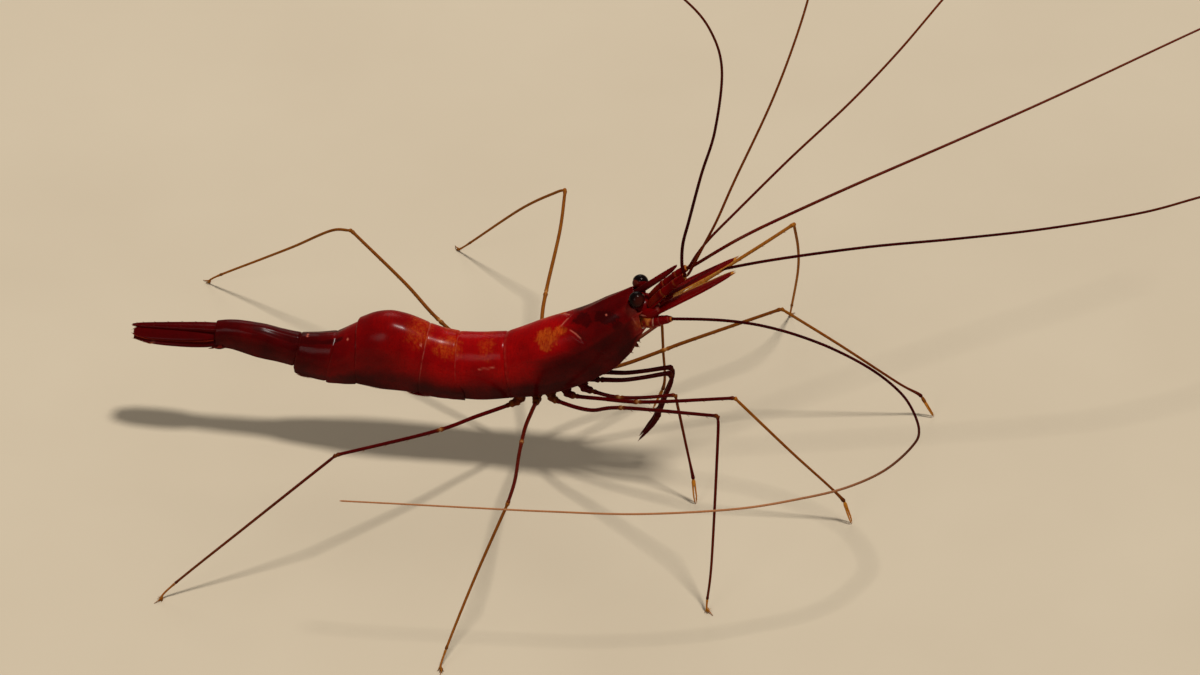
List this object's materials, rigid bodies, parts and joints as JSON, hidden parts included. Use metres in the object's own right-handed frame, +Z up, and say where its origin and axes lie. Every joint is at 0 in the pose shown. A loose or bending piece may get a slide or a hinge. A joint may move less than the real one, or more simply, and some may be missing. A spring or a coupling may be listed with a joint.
{
  "type": "long-legged deep-sea shrimp",
  "caption": "Life-size still model of a long-legged red deep-sea shrimp standing on its leg tips, with its feelers spread up, forward and round its side.",
  "frame": {"origin": "on the floor under the middle of the whole animal's outer box, feelers included", "axes": "+X towards the head, +Y to the animal's left, +Z up"},
  "size_m": [0.2428, 0.1428, 0.1217],
  "materials": {
    "head_shell": "wet glossy crimson shell with orange patches",
    "abdomen_shell": "wet glossy crimson shell with orange mottling",
    "tail_shell": "satin dark red shell",
    "belly_shell": "dark red shell",
    "eye": "black polished cornea",
    "blade_shell": "translucent red shell with amber edges",
    "feeler": "dark red ringed feeler",
    "limb_shell": "dark red limb shell with amber joints",
    "shin_shell": "amber red limb shell"
  },
  "bodies": {
    "root": {"carapace": "head_shell", "sternum": "belly_shell", "abdomen_1": "abdomen_shell", "abdomen_2": "abdomen_shell", "abdomen_3": "abdomen_shell", "abdomen_4": "abdomen_shell", "abdomen_5": "abdomen_shell", "abdomen_6": "abdomen_shell", "telson": "tail_shell", "uropod_inner_left": "tail_shell", "uropod_inner_right": "tail_shell", "uropod_outer_left": "tail_shell", "uropod_outer_right": "tail_shell", "eyestalks": "belly_shell", "eye_left": "eye", "eye_right": "eye", "antennule_left": "blade_shell", "antennule_right": "blade_shell", "antennal_scale_left": "blade_shell", "antennal_scale_right": "blade_shell", "antennule_flagellum_inner_left": "feeler", "antennule_flagellum_inner_right": "feeler", "antennule_flagellum_outer_left": "feeler", "antennule_flagellum_outer_right": "feeler", "antenna_right_1": "feeler", "antenna_right_2": "feeler", "antenna_right_3": "feeler", "antenna_right_4": "feeler", "antenna_left_1": "feeler", "antenna_left_2": "feeler", "maxilliped_left": "limb_shell", "maxilliped_right": "limb_shell", "leg_1_left": "limb_shell", "leg_1_right": "limb_shell", "leg_2_upper_left": "limb_shell", "leg_2_upper_right": "limb_shell", "leg_2_lower_left": "shin_shell", "leg_2_lower_right": "shin_shell", "leg_3_upper_left": "limb_shell", "leg_3_upper_right": "limb_shell", "leg_3_lower_left": "shin_shell", "leg_3_lower_right": "shin_shell", "leg_4_upper_left": "limb_shell", "leg_4_upper_right": "limb_shell", "leg_4_lower_left": "shin_shell", "leg_4_lower_right": "shin_shell", "leg_5_upper_left": "limb_shell", "leg_5_upper_right": "limb_shell", "leg_5_lower_left": "shin_shell", "leg_5_lower_right": "shin_shell", "pleopod_1_left": "belly_shell", "pleopod_1_right": "belly_shell", "pleopod_2_left": "belly_shell", "pleopod_2_right": "belly_shell", "pleopod_3_left": "belly_shell", "pleopod_3_right": "belly_shell", "pleopod_4_left": "belly_shell", "pleopod_4_right": "belly_shell", "pleopod_5_left": "belly_shell", "pleopod_5_right": "belly_shell"}
  },
  "joints": []
}
